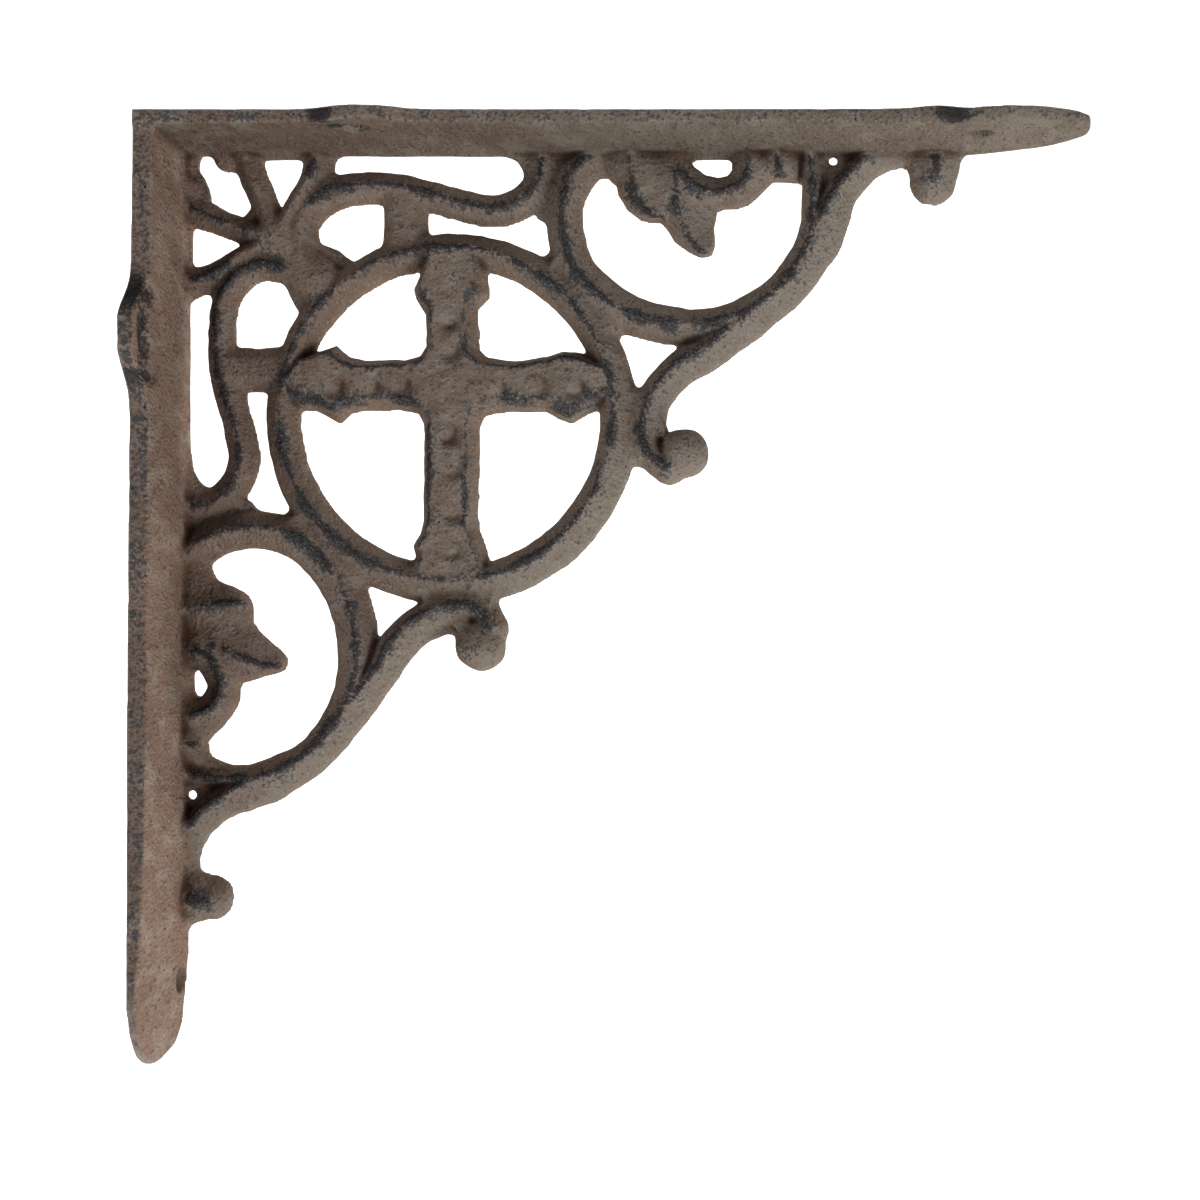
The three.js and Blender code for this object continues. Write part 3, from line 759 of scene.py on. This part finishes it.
def surface():
    """Surface nets: a vertex in each cell that the surface passes, and a quad across each grid edge."""
    inside = field < 0
    sizes = np.array(field.shape)
    cell_of = np.array([sizes[1] * sizes[2], sizes[2], 1])
    axes = (grid_x, grid_d, grid_h)
    units = np.eye(3, dtype=int)
    quads, cells, points = [], [], []
    for axis in range(3):
        first, second = [slice(None)] * 3, [slice(None)] * 3
        first[axis], second[axis] = slice(0, -1), slice(1, None)
        places = np.argwhere(inside[tuple(first)] != inside[tuple(second)])
        low = field[tuple(places.T)].astype(float)
        high = field[tuple((places + units[axis]).T)].astype(float)
        crossing = np.stack([axes[k][places[:, k]] for k in range(3)], axis=1)
        crossing[:, axis] += CELL * low / (low - high)
        u, v = units[(axis + 1) % 3], units[(axis + 2) % 3]
        corners = [(places - shift) @ cell_of for shift in (0 * u, u, u + v, v)]
        outward = low < 0
        quad = np.stack(corners, axis=1)
        quad[~outward] = quad[~outward][:, ::-1]
        quads.append(quad)
        cells.append(np.concatenate(corners))
        points.append(np.tile(crossing, (4, 1)))
    quads, cells, points = np.vstack(quads), np.concatenate(cells), np.vstack(points)
    used, index = np.unique(cells, return_inverse=True)
    count = np.bincount(index)
    vertices = np.stack([np.bincount(index, points[:, k]) / count for k in range(3)], axis=1)
    return vertices, np.searchsorted(used, quads)


def mesh_of(name, vertices, faces):
    """A Blender mesh from arrays of vertices and of faces with one number of corners."""
    mesh = bpy.data.meshes.new(name)
    corners = faces.shape[1]
    mesh.vertices.add(len(vertices))
    mesh.vertices.foreach_set("co", vertices.astype(np.float32).ravel())
    mesh.loops.add(faces.size)
    mesh.loops.foreach_set("vertex_index", faces.astype(np.int32).ravel())
    mesh.polygons.add(len(faces))
    mesh.polygons.foreach_set("loop_start", np.arange(0, faces.size, corners, dtype=np.int32))
    mesh.update(calc_edges=True)
    mesh.validate()
    return mesh


def normals_of(vertices, faces):
    """Area-weighted vertex normals."""
    across = vertices[faces[:, 2]] - vertices[faces[:, 0]]
    along = vertices[faces[:, 3]] - vertices[faces[:, 1]]
    flat = np.cross(across, along)
    total = np.stack([
        sum(np.bincount(faces[:, corner], flat[:, k], len(vertices)) for corner in range(4))
        for k in range(3)
    ], axis=1)
    return total / np.maximum(np.linalg.norm(total, axis=1, keepdims=True), 1e-9)


def blurred(values, radius):
    """Two box blurs of that radius, in cells, along each axis."""
    for axis in (0, 1, 2):
        for _ in range(2):
            pads = [(radius + 1, radius) if k == axis else (0, 0) for k in range(3)]
            padded = np.pad(values, pads, mode="edge")
            total = np.cumsum(padded, axis=axis, dtype=np.float64)
            width = 2 * radius + 1
            ahead = np.take(total, range(width, total.shape[axis]), axis=axis)
            behind = np.take(total, range(0, total.shape[axis] - width), axis=axis)
            values = ((ahead - behind) / width).astype(np.float32)
    return values


def sampled(values, spacing, origin, points):
    """Trilinear values of a grid at points."""
    place = (points - origin) / spacing
    place = np.clip(place, 0, np.array(values.shape) - 1.001)
    base = place.astype(int)
    part = place - base
    total = 0
    for corner in range(8):
        offset = np.array([(corner >> axis) & 1 for axis in range(3)])
        weight = np.prod(np.where(offset, part, 1 - part), axis=1)
        total = total + weight * values[tuple((base + offset).T)]
    return total


def halved(values):
    """The grid with cells twice as large."""
    even = [size // 2 * 2 for size in values.shape]
    values = values[:even[0], :even[1], :even[2]]
    for axis in range(3):
        count = values.shape[axis]
        first = np.take(values, range(0, count, 2), axis=axis)
        values = (first + np.take(values, range(1, count, 2), axis=axis)) / 2
    return values


def to_model(points):
    """From the grid's millimetres to the model's metres."""
    return GRID_START + points[:, [0, 2, 1]] * MM * GRID_TURN


def from_model(points):
    return ((points - GRID_START) / MM * GRID_TURN)[:, [0, 2, 1]]


def cast_casting():
    """The whole casting as one mesh object."""
    ornament_half(SHELF_HALF)
    ornament_half(WALL_HALF)
    ring()
    cross()
    lily_knot()
    small_fills()
    straps()
    tiny_hole(SHELF_HALF)
    tiny_hole(WALL_HALF)
    trim()
    vertices, quads = surface()
    vertices = np.where(vertices < FLAT_SHARE * CELL, 0, vertices)
    rough = layered(vertices, SKIN_LAYERS)
    vertices = vertices + normals_of(vertices, quads) * rough[:, None]
    vertices = np.clip(vertices, 0, [shelf_reach, wall_drop, full_height])
    # The model's frame is the grid's mirror image, so each face is wound the other way
    mesh = mesh_of("casting", to_model(vertices), quads[:, ::-1])
    casting = bpy.data.objects.new("casting", mesh)
    bpy.context.scene.collection.objects.link(casting)
    return casting


def thinned(obj, limit):
    """The object's mesh brought under a number of triangles."""
    triangles = sum(len(polygon.vertices) - 2 for polygon in obj.data.polygons)
    modifier = obj.modifiers.new("thin", "DECIMATE")
    modifier.ratio = min(1.0, limit / triangles)
    modifier.use_collapse_triangulate = True
    graph = bpy.context.evaluated_depsgraph_get()
    mesh = bpy.data.meshes.new_from_object(obj.evaluated_get(graph))
    obj.modifiers.clear()
    old, obj.data = obj.data, mesh
    bpy.data.meshes.remove(old)
    mesh.polygons.foreach_set("use_smooth", np.ones(len(mesh.polygons), bool))
    mesh.set_sharp_from_angle(angle=math.radians(SHARP_ANGLE))
    mesh.name = obj.name


def strap_step_shades(points):
    """Where the straps are painted dark as shade, round their dished ears and beside their holes."""
    along_wall, along_shelf, up = points[:, 1], points[:, 0], points[:, 2]
    # Middle along the strap, middle above the back, half length and half width
    wall_step_shades = [(38.6, 27.5, 2.8, 7.0), (55.6, 27.5, 1.6, 6.5), (47.0, 28.8, 9.0, 4.4)]
    shelf_step_shades = [
        (39.3, 28.0, 2.4, 3.4), (42.2, 23.3, 4.0, 1.7), (46.0, 20.4, 2.4, 1.0), (170.0, 27.5, 3.4, 3.4),
    ]
    found = np.zeros(len(points))
    for step_shades, along, off in (
        (wall_step_shades, along_wall, along_shelf),
        (shelf_step_shades, along_shelf, along_wall),
    ):
        for middle, height, length, width in step_shades:
            out = np.hypot((along - middle) / length, (up - height) / width)
            found = np.maximum(found, np.exp(-out ** 2.5) * (off < 6) * (up > 12))
    return found


def read_vertices(mesh, kind):
    """The positions or normals of a mesh's vertices."""
    values = np.zeros(len(mesh.vertices) * 3, np.float32)
    mesh.vertices.foreach_get(kind, values)
    return values.reshape(-1, 3)


def iron_around(points):
    """The share of iron in the near and in the wide surroundings of each point."""
    coarse = halved(np.clip(0.5 - field / CELL, 0, 1))
    spacing = CELL * 2
    origin = np.array([grid_x[0], grid_d[0], grid_h[0]]) + CELL / 2
    return [sampled(blurred(coarse, radius), spacing, origin, points) for radius in (1, 2)]


def crest_distance(points):
    """How far each point lies from the nearest crest line, seen from the front."""
    place = np.stack([points[:, 0] - grid_x[0], points[:, 1] - grid_d[0]], axis=1) / CELL
    place = np.clip(np.rint(place).astype(int), 0, np.array(crest_map.shape) - 1)
    return crest_map[place[:, 0], place[:, 1]]


def mark_relief(obj):
    """Stores what the material needs to know of each vertex's place, as marks from 0 to 1."""
    mesh = obj.data
    points = from_model(read_vertices(mesh, "co").astype(float))
    normals = read_vertices(mesh, "normal")
    x, d, height = points.T
    towards_wall, facing, up = -normals[:, 0], -normals[:, 1], normals[:, 2]
    lower_left = 0.8 * towards_wall - 0.6 * up
    lower_right = -0.707 * towards_wall - 0.707 * up
    near, wide = iron_around(points)
    on_straps = smooth_step(10, 13, height)
    off_straps = smooth_step(0.3, 1.2, np.minimum(x - WALL_THICKNESS, d - SHELF_THICKNESS))
    raised = smooth_step(2.4, 3.6, height) * off_straps * (1 - on_straps)
    outer = smooth_step(135, 155, x + d)
    marks = {
        "crest": np.exp(-crest_distance(points) / 1.1) * raised,
        # Faces turned to the lower left, away from the key lamp, where the dark remains are spread wider
        # as painted shade
        "remains_and_painted_shade": smooth_step(-0.1, 0.4, lower_left) * off_straps,
        # Painted highlight: outer faces turned to the lower right, towards the key lamp
        "painted_lower_right_light": smooth_step(0.3, 0.7, lower_right) * outer * off_straps * (1 - on_straps),
        # Painted light on the wall strap's inner face and painted shade under the shelf strap
        "painted_wall_face_light": smooth_step(5.6, 4.6, x) * smooth_step(-0.4, -0.8, towards_wall),
        "painted_shelf_underside_shade": smooth_step(4.6, 3.6, d) * smooth_step(-0.4, -0.8, up),
        # Painted shade round the straps' dished ears and beside their holes
        "painted_step_shade": strap_step_shades(points),
        # Painted highlight along the straps' sharp edges
        "painted_edge_highlight": smooth_step(0.31, 0.24, near) * on_straps,
        "face": smooth_step(0.5, 0.8, facing) * on_straps,
        "steep": smooth_step(0.8, 0.45, facing) * off_straps * (1 - on_straps),
        # Painted shade: near black in the tight creases
        "painted_crease_shade": smooth_step(0.54, 0.74, near),
        # Rust in the wide hollows, deepened there as painted shade
        "hollow_rust_and_shade": smooth_step(0.52, 0.74, wide),
    }
    for name, values in marks.items():
        attribute = mesh.attributes.new(name, "FLOAT", "POINT")
        attribute.data.foreach_set("value", values.astype(np.float32))


# Materials

class Nodes:
    """A material's node tree, with short ways to add nodes."""

    def __init__(self, name):
        self.material = bpy.data.materials.new(name)
        self.material.use_nodes = True
        self.tree = self.material.node_tree
        self.shader = self.tree.nodes["Principled BSDF"]
        self.place = self.add("ShaderNodeTexCoord").outputs["Object"]
        # The grain runs out from the back, as the iron was drawn from its sand mould
        mapping = self.add("ShaderNodeMapping", {"Vector": self.place, "Scale": (1, 0.5, 1)})
        self.grain_place = mapping.outputs["Vector"]

    def add(self, kind, inputs=None, **settings):
        node = self.tree.nodes.new(kind)
        for key, value in settings.items():
            setattr(node, key, value)
        for key, value in (inputs or {}).items():
            self.link(value, node.inputs[key])
        return node

    def link(self, value, socket):
        if isinstance(value, bpy.types.NodeSocket):
            self.tree.links.new(value, socket)
        else:
            socket.default_value = value

    def noise(self, size, detail=2.0, roughness=0.5):
        """Noise with lumps of about that size, in millimetres."""
        node = self.add("ShaderNodeTexNoise", {
            "Vector": self.grain_place, "Scale": 1 / (size * MM), "Detail": detail, "Roughness": roughness,
        })
        return node.outputs["Fac"]

    def dots(self, spacing, radius):
        """Round dots: 1 in their middle and 0 outside, in millimetres."""
        node = self.add("ShaderNodeTexVoronoi", {"Vector": self.place, "Scale": 1 / (spacing * MM)})
        return self.ramp(node.outputs["Distance"], radius / spacing, radius / spacing * 0.5)

    def ramp(self, value, low, high):
        ends = {"Value": value, "From Min": low, "From Max": high}
        node = self.add("ShaderNodeMapRange", ends, interpolation_type="SMOOTHSTEP")
        return node.outputs["Result"]

    def math(self, operation, a, b=0.0, c=0.0):
        return self.add("ShaderNodeMath", {0: a, 1: b, 2: c}, operation=operation).outputs[0]

    def times(self, a, b):
        return self.math("MULTIPLY", a, b)

    def axis(self, name):
        """One coordinate of the place, in metres."""
        return self.add("ShaderNodeSeparateXYZ", {0: self.place}).outputs[name]

    def mark(self, name):
        return self.add("ShaderNodeAttribute", attribute_name=name).outputs["Fac"]

    def mix(self, share, a, b, blend_type="MIX"):
        colours = {"Factor": share, "A": a, "B": b}
        node = self.add("ShaderNodeMix", colours, data_type="RGBA", blend_type=blend_type)
        return node.outputs["Result"]

    def tint(self, colour, where, strength, other):
        """The colour, mixed towards another one where a mark or a noise is high."""
        return self.mix(self.times(where, strength), colour, other)

    def heap(self, total, parts):
        """The total with each part added to it by its share."""
        for part, share in parts:
            total = self.math("MULTIPLY_ADD", part, share, total)
        return total

    def finished(self, inputs):
        """The material, once its shader has these inputs."""
        for key, value in inputs.items():
            self.link(value, self.shader.inputs[key])
        return self.material

    def bump(self, height, distance):
        """Bumps of that height in millimetres."""
        return self.add("ShaderNodeBump", {"Height": height, "Distance": distance * MM}).outputs["Normal"]


def srgb(red, green, blue):
    """A colour given as 0 to 255 on screen, for a node socket."""
    def linear(value):
        value /= 255
        return value / 12.92 if value <= 0.04045 else ((value + 0.055) / 1.055) ** 2.4
    return linear(red), linear(green), linear(blue), 1.0


def iron_noises(nodes):
    """The noises that the iron's colours and bumps share, named by the size of their lumps."""
    return {
        "broad": nodes.noise(22, 2),
        "patchy": nodes.ramp(nodes.noise(9, 2), 0.36, 0.62),
        "middle": nodes.noise(4.5, 3),
        "fine": nodes.noise(1.6, 3, 0.6),
        "grain": nodes.noise(0.7, 2),
        "tiny": nodes.noise(0.45, 1),
    }


def rust(nodes, noise, along):
    """Brown rust, redder by the wall, greyer along the shelf and deep brown in the hollows, with painted
    shade in the hollows, creases and under the shelf, and painted light on faces turned to the lower right
    and on the strap face by the wall.
    """
    steep = nodes.mark("steep")
    broad = nodes.ramp(noise["broad"], 0.35, 0.65)
    red = nodes.mix(broad, srgb(111, 93, 82), srgb(120, 102, 91))
    grey = nodes.mix(broad, srgb(111, 100, 90), srgb(121, 111, 101))
    brown = nodes.mix(along, red, grey)
    brown = nodes.mix(nodes.ramp(noise["middle"], 0.42, 0.75), brown, srgb(128, 118, 108))
    brown = nodes.tint(brown, steep, 0.6, srgb(104, 85, 71))
    # Painted highlight: outer faces turned to the lower right, towards the key lamp, are painted lighter
    brown = nodes.tint(brown, nodes.mark("painted_lower_right_light"), 0.5, srgb(122, 115, 106))
    specks = nodes.times(nodes.ramp(noise["grain"], 0.54, 0.64), nodes.ramp(noise["fine"], 0.42, 0.58))
    specks = nodes.times(specks, nodes.ramp(steep, 1.3, 0.0))
    brown = nodes.tint(brown, specks, 0.65, srgb(68, 62, 60))
    brown = nodes.tint(brown, nodes.ramp(noise["tiny"], 0.42, 0.30), 0.45, srgb(148, 140, 131))
    # Deep brown rust in the hollows, darkened further there as painted shade
    deep = nodes.mix(nodes.ramp(noise["middle"], 0.35, 0.65), srgb(90, 58, 41), srgb(60, 44, 35))
    brown = nodes.tint(brown, nodes.mark("hollow_rust_and_shade"), 0.8, deep)
    # Painted shade: near black in the tight creases
    brown = nodes.tint(brown, nodes.mark("painted_crease_shade"), 0.7, srgb(40, 30, 25))
    # The straps' inner faces, which the photograph shows lighter by the wall and darker under the shelf:
    # painted light on the face by the wall and painted shade under the shelf
    brown = nodes.mix(nodes.mark("painted_wall_face_light"), brown, (1.10, 1.04, 1.00, 1.0), "MULTIPLY")
    return nodes.mix(nodes.mark("painted_shelf_underside_shade"), brown, (0.70, 0.69, 0.67, 1.0), "MULTIPLY")


def remains_cover(nodes, noise, along, crest, painted_step_shade):
    """Where dark remains lie: along the crests, spread wider as painted shade on faces turned to the lower
    left away from the key lamp, thin or missing elsewhere.
    """
    # Painted shade: the dark remains spread wider on faces turned away from the key lamp
    remains_and_shade_spread = nodes.times(nodes.mark("remains_and_painted_shade"), noise["patchy"])
    spread = nodes.math("POWER", crest, nodes.math("MULTIPLY_ADD", remains_and_shade_spread, -0.42, 1.0))
    cover = nodes.times(spread, nodes.math("MULTIPLY_ADD", noise["patchy"], 0.36, 0.46))
    edges = nodes.times(nodes.mark("face"), nodes.math("MULTIPLY_ADD", along, -0.10, 0.27))
    cover = nodes.math("ADD", cover, edges)
    # The painted shade by the ears and holes widens it, and the noises make its outline ragged
    ragged = [(painted_step_shade, 0.5), (noise["grain"], 1.0), (noise["fine"], 0.6), (noise["middle"], 0.3)]
    return nodes.ramp(nodes.heap(cover, ragged), 1.13, 1.38)


def remains_colour(nodes, noise, crest, painted_step_shade):
    """Near black, with a blue-grey grain away from the middle of the crests and of the painted shade by
    the ears and holes.
    """
    dark = nodes.mix(nodes.ramp(noise["grain"], 0.46, 0.62), srgb(38, 37, 39), srgb(74, 76, 80))
    core = nodes.times(nodes.ramp(crest, 0.55, 0.85), 0.6)
    # The painted shade by the ears and holes is kept near black
    core = nodes.math("MAXIMUM", core, nodes.times(painted_step_shade, 0.8))
    return nodes.mix(core, dark, srgb(38, 36, 38))


def iron_material():
    nodes = Nodes("patinated_iron")
    noise = iron_noises(nodes)
    crest, painted_step_shade = nodes.mark("crest"), nodes.mark("painted_step_shade")
    along = nodes.ramp(nodes.axis("X"), 0.0, 0.12)
    colour = rust(nodes, noise, along)
    cover = remains_cover(nodes, noise, along, crest, painted_step_shade)
    colour = nodes.tint(colour, cover, 0.9, remains_colour(nodes, noise, crest, painted_step_shade))
    # Painted glints: light grey specks along the crests
    painted_glints = nodes.times(nodes.ramp(noise["tiny"], 0.60, 0.70), nodes.ramp(crest, 0.12, 0.5))
    colour = nodes.tint(colour, painted_glints, 0.35, srgb(134, 134, 134))
    # Painted highlight along the straps' sharp edges
    colour = nodes.tint(colour, nodes.mark("painted_edge_highlight"), 0.75, srgb(148, 141, 134))
    pits = nodes.times(nodes.dots(2.6, 0.3), nodes.ramp(noise["middle"], 0.40, 0.58))
    colour = nodes.tint(colour, pits, 0.75, srgb(42, 35, 32))
    height = nodes.times(noise["fine"], 0.9)
    height = nodes.heap(height, [(noise["grain"], 0.75), (noise["middle"], 0.8), (pits, -0.5)])
    return nodes.finished({
        "Base Color": colour, "Roughness": 0.7, "Metallic": 0.0, "Specular IOR Level": 0.0,
        "Normal": nodes.bump(height, 0.7),
    })


def stage_material():
    return Nodes("pale_stage").finished({
        "Base Color": srgb(240, 240, 240), "Roughness": 0.9,
        "Emission Color": (1, 1, 1, 1), "Emission Strength": 0.80,
    })


# Stage, lights and camera

def stage():
    """A pale floor that sweeps up into a backdrop behind the bracket."""
    floor_z = cad_low.z - 0.75
    front_y, back_y, top_z, side = -2.5, 1.3, 2.6, 4.0
    radius = 0.5
    turn = np.linspace(-math.pi / 2, 0, 13)
    profile = [(front_y, floor_z)]
    profile += [(back_y - radius * (1 - math.cos(a)), floor_z + radius * (1 + math.sin(a))) for a in turn]
    profile += [(back_y, top_z)]
    vertices = np.array([(x, y, z) for y, z in profile for x in (-side, side)])
    faces = np.array([(2 * k, 2 * k + 1, 2 * k + 3, 2 * k + 2) for k in range(len(profile) - 1)])
    sweep = bpy.data.objects.new("floor", mesh_of("floor", vertices, faces))
    sweep.data.polygons.foreach_set("use_smooth", np.ones(len(faces), bool))
    sweep.data.materials.append(stage_material())
    bpy.context.scene.collection.objects.link(sweep)


def lights():
    middle = (cad_low + cad_high) / 2
    # Each lamp's place from the bracket's middle, its width in metres and its power in watts
    lamps = {
        "key": ((0.80, -0.62, -0.42), 0.35, 5.5),
        "fill": ((-0.75, -0.80, 0.25), 0.5, 2.6),
        "back_fill": ((0.6, 0.9, -0.3), 0.6, 6.0),
        "top_fill": ((0.2, 0.5, 0.9), 0.6, 5.0),
    }
    for name, (offset, width, power) in lamps.items():
        light = bpy.data.lights.new(name, "AREA")
        light.shape = "DISK"
        light.size = width
        light.energy = power
        lamp = bpy.data.objects.new(name, light)
        lamp.location = middle + Vector(offset)
        lamp.rotation_euler = (middle - lamp.location).to_track_quat("-Z", "Y").to_euler()
        bpy.context.scene.collection.objects.link(lamp)
    world = bpy.data.worlds.new("studio")
    world.use_nodes = True
    background = world.node_tree.nodes["Background"]
    background.inputs["Color"].default_value = (1, 1, 1, 1)
    background.inputs["Strength"].default_value = 0.13
    bpy.context.scene.world = world


def camera():
    data = bpy.data.cameras.new("camera")
    data.sensor_width = SENSOR_MM
    data.lens = SENSOR_MM * LENS_DISTANCE / (PHOTO_SIDE * PIXEL_MM)
    data.shift_x = 0.5 - FOOT_PIXEL[0] / PHOTO_SIDE
    data.shift_y = FOOT_PIXEL[1] / PHOTO_SIDE - 0.5
    data.clip_start = 0.01
    data.clip_end = 20
    lens = bpy.data.objects.new("camera", data)
    lens.location = (
        cad_low.x + (FOOT_PIXEL[0] - CORNER_PIXEL[0]) * PIXEL_MM * MM,
        cad_high.y - LENS_DISTANCE * MM,
        cad_high.z - (FOOT_PIXEL[1] - CORNER_PIXEL[1]) * PIXEL_MM * MM,
    )
    lens.rotation_euler = (math.pi / 2, 0, 0)
    bpy.context.scene.collection.objects.link(lens)
    bpy.context.scene.camera = lens


casting = cast_casting()
thinned(casting, TRIANGLE_LIMIT)
mark_relief(casting)
casting.data.materials.append(iron_material())
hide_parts("cast_bracket")
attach(casting, "root")

stage()
lights()
camera()
bpy.context.scene.view_settings.view_transform = "Standard"
